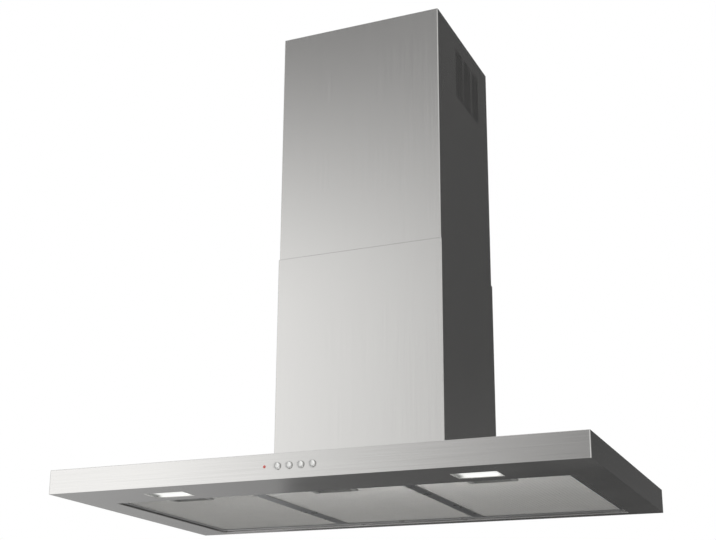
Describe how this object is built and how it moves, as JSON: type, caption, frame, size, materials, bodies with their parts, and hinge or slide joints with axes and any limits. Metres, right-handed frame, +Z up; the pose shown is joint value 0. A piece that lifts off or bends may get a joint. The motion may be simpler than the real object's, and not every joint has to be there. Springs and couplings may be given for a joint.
{
  "type": "chimney range hood",
  "caption": "Wall chimney range hood: flat box canopy, telescopic chimney with side vents, tilting grease filters with pull latches, lamps, push-buttons, blower and duct collar.",
  "frame": {"origin": "centre of the wall bracket's four fixing holes, on the wall plane", "axes": "+Y into the wall, +Z up, +X to the right seen from the front"},
  "size_m": [0.9, 0.5305, 0.892],
  "materials": {
    "canopy_steel": "brushed along the width",
    "chimney_steel": "brushed upright",
    "galvanised": "zinc coated, matt",
    "fastener": "plain",
    "filter_frame": "satin",
    "filter_mesh": "expanded mesh, satin",
    "pocket": "fine grain",
    "handle": "fine grain",
    "spring": "plain",
    "lamp_tray": "white",
    "lamp_lens": "frosted",
    "board": "solder mask",
    "button": "turned and satin",
    "indicator": "clear red",
    "black_plastic": "moulded",
    "collar_plastic": "moulded",
    "motor": "cast",
    "rubber": "matt",
    "capacitor": "moulded"
  },
  "bodies": {
    "hood": {"canopy_shell": "canopy_steel", "underside_panel": "canopy_steel", "control_housing": "black_plastic", "control_board": "board", "indicator_lens": "indicator", "lower_chimney": "chimney_steel", "chimney_angles": "galvanised", "chimney_screws": "fastener", "blower_box": "galvanised", "box_screws": "fastener", "cable_gland": "black_plastic", "outlet_collar": "collar_plastic", "flap_pin": "fastener", "scroll_wrap": "galvanised", "scroll_side_left": "galvanised", "scroll_side_right": "galvanised", "motor": "motor", "motor_bracket": "galvanised", "rubber_bushes": "rubber", "wall_bracket": "galvanised", "terminal_box": "black_plastic", "capacitor": "capacitor", "lamp_housing_left": "lamp_tray", "lamp_housing_right": "lamp_tray", "lamp_lens_left": "lamp_lens", "lamp_lens_right": "lamp_lens", "lamp_board_left": "board", "lamp_board_right": "board", "button_spring_1": "spring", "button_spring_2": "spring", "button_spring_3": "spring", "button_spring_4": "spring"},
    "upper_section": {"upper_chimney": "chimney_steel", "ceiling_bracket": "galvanised", "ceiling_screws": "fastener"},
    "impeller": {"impeller": "black_plastic", "motor_shaft": "fastener"},
    "flap_front": {"flap_front": "collar_plastic"},
    "flap_rear": {"flap_rear": "collar_plastic"},
    "button_1": {"button_1": "button"},
    "button_2": {"button_2": "button"},
    "button_3": {"button_3": "button"},
    "button_4": {"button_4": "button"},
    "filter_left": {"filter_frame_left": "filter_frame", "filter_mesh_left": "filter_mesh", "latch_pocket_left": "pocket", "latch_spring_left": "spring"},
    "latch_left": {"latch_handle_left": "handle"},
    "filter_middle": {"filter_frame_middle": "filter_frame", "filter_mesh_middle": "filter_mesh", "latch_pocket_middle": "pocket", "latch_spring_middle": "spring"},
    "latch_middle": {"latch_handle_middle": "handle"},
    "filter_right": {"filter_frame_right": "filter_frame", "filter_mesh_right": "filter_mesh", "latch_pocket_right": "pocket", "latch_spring_right": "spring"},
    "latch_right": {"latch_handle_right": "handle"}
  },
  "joints": [
    {"name": "chimney_slide", "type": "slide", "parent": "hood", "child": "upper_section", "axis": [0, 0, 1], "range_m": [-0.3, 0.04]},
    {"name": "impeller_spin", "type": "hinge", "parent": "hood", "child": "impeller", "pos_m": [0, -0.172, -0.055], "axis": [1, 0, 0], "continuous": true},
    {"name": "flap_front_swing", "type": "hinge", "parent": "hood", "child": "flap_front", "pos_m": [0, -0.115, 0.1205], "axis": [-1, 0, 0], "range_deg": [0, 75]},
    {"name": "flap_rear_swing", "type": "hinge", "parent": "hood", "child": "flap_rear", "pos_m": [0, -0.115, 0.1205], "axis": [1, 0, 0], "range_deg": [0, 75]},
    {"name": "button_1_press", "type": "slide", "parent": "hood", "child": "button_1", "axis": [0, 1, 0], "range_m": [0, 0.002], "stiffness_N_per_m": 300, "springref_m": -0.003, "deforming": ["button_spring_1"]},
    {"name": "button_2_press", "type": "slide", "parent": "hood", "child": "button_2", "axis": [0, 1, 0], "range_m": [0, 0.002], "stiffness_N_per_m": 300, "springref_m": -0.003, "deforming": ["button_spring_2"]},
    {"name": "button_3_press", "type": "slide", "parent": "hood", "child": "button_3", "axis": [0, 1, 0], "range_m": [0, 0.002], "stiffness_N_per_m": 300, "springref_m": -0.003, "deforming": ["button_spring_3"]},
    {"name": "button_4_press", "type": "slide", "parent": "hood", "child": "button_4", "axis": [0, 1, 0], "range_m": [0, 0.002], "stiffness_N_per_m": 300, "springref_m": -0.003, "deforming": ["button_spring_4"]},
    {"name": "filter_left_tilt", "type": "hinge", "parent": "hood", "child": "filter_left", "pos_m": [-0.26333, -0.029, -0.192], "axis": [1, 0, 0], "range_deg": [0, 60]},
    {"name": "filter_middle_tilt", "type": "hinge", "parent": "hood", "child": "filter_middle", "pos_m": [0, -0.029, -0.192], "axis": [1, 0, 0], "range_deg": [0, 60]},
    {"name": "filter_right_tilt", "type": "hinge", "parent": "hood", "child": "filter_right", "pos_m": [0.26333, -0.029, -0.192], "axis": [1, 0, 0], "range_deg": [0, 60]},
    {"name": "latch_left_pull", "type": "slide", "parent": "filter_left", "child": "latch_left", "axis": [0, 1, 0], "range_m": [0, 0.006], "stiffness_N_per_m": 400, "springref_m": -0.004, "deforming": ["latch_spring_left"]},
    {"name": "latch_middle_pull", "type": "slide", "parent": "filter_middle", "child": "latch_middle", "axis": [0, 1, 0], "range_m": [0, 0.006], "stiffness_N_per_m": 400, "springref_m": -0.004, "deforming": ["latch_spring_middle"]},
    {"name": "latch_right_pull", "type": "slide", "parent": "filter_right", "child": "latch_right", "axis": [0, 1, 0], "range_m": [0, 0.006], "stiffness_N_per_m": 400, "springref_m": -0.004, "deforming": ["latch_spring_right"]}
  ]
}
